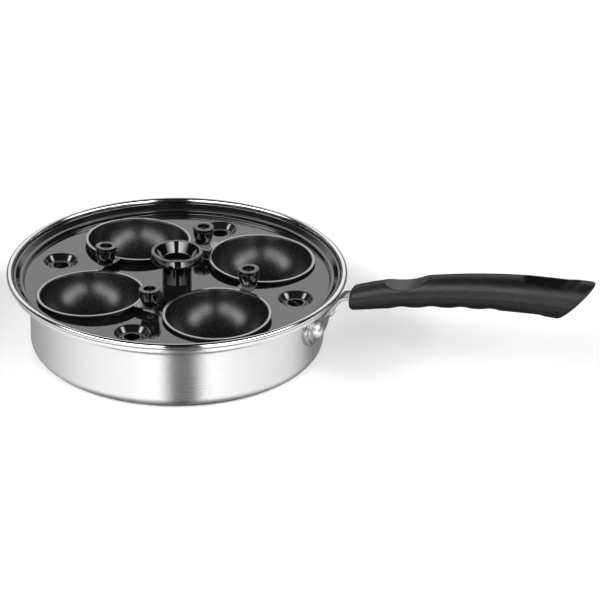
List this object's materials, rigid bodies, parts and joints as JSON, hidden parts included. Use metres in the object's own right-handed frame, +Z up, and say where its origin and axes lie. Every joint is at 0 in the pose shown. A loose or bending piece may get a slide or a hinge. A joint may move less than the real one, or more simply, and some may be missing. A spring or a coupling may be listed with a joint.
{
  "type": "egg poacher pan",
  "caption": "Low round pan with a rolled rim and one long moulded handle; a lift-out tray with a central knob carries small round egg cups, each with its own knob.",
  "frame": {"origin": "centre of the underside of the pan's base", "axes": "+Z up, +X along the handle away from the pan, +Y to the left when looking along the handle from the pan"},
  "size_m": [0.3799, 0.22, 0.0773],
  "materials": {
    "pan_aluminium": "satin, brushed round the wall, polished on the bead",
    "bracket_steel": "plain pressed steel, semi-bright",
    "rivet_aluminium": "bright, smooth",
    "grip_plastic": "satin black with a fine grain",
    "screw_steel": "bright plated",
    "tray_coating": "glossy black coating",
    "cup_coating": "black non-stick coating with fine speckles, bare bright edge",
    "knob_plastic": "glossy black"
  },
  "bodies": {
    "pan": {"pan_body": "pan_aluminium", "handle_bracket": "bracket_steel", "bracket_rivets": "rivet_aluminium", "handle_grip": "grip_plastic", "handle_screw": "screw_steel"},
    "tray": {"tray": "tray_coating", "tray_knob": "knob_plastic", "tray_knob_screw": "screw_steel", "tray_knob_washer": "screw_steel"},
    "cup_1_body": {"cup_1": "cup_coating", "cup_knob_1": "knob_plastic", "cup_screw_1": "screw_steel"},
    "cup_2_body": {"cup_2": "cup_coating", "cup_knob_2": "knob_plastic", "cup_screw_2": "screw_steel"},
    "cup_3_body": {"cup_3": "cup_coating", "cup_knob_3": "knob_plastic", "cup_screw_3": "screw_steel"},
    "cup_4_body": {"cup_4": "cup_coating", "cup_knob_4": "knob_plastic", "cup_screw_4": "screw_steel"}
  },
  "joints": [
    {"name": "tray_lift", "type": "slide", "parent": "pan", "child": "tray", "axis": [0, 0, 1], "range_m": [0, 0.12]},
    {"name": "cup_1_lift", "type": "slide", "parent": "tray", "child": "cup_1_body", "axis": [0, 0, 1], "range_m": [0, 0.07]},
    {"name": "cup_2_lift", "type": "slide", "parent": "tray", "child": "cup_2_body", "axis": [0, 0, 1], "range_m": [0, 0.07]},
    {"name": "cup_3_lift", "type": "slide", "parent": "tray", "child": "cup_3_body", "axis": [0, 0, 1], "range_m": [0, 0.07]},
    {"name": "cup_4_lift", "type": "slide", "parent": "tray", "child": "cup_4_body", "axis": [0, 0, 1], "range_m": [0, 0.07]}
  ]
}
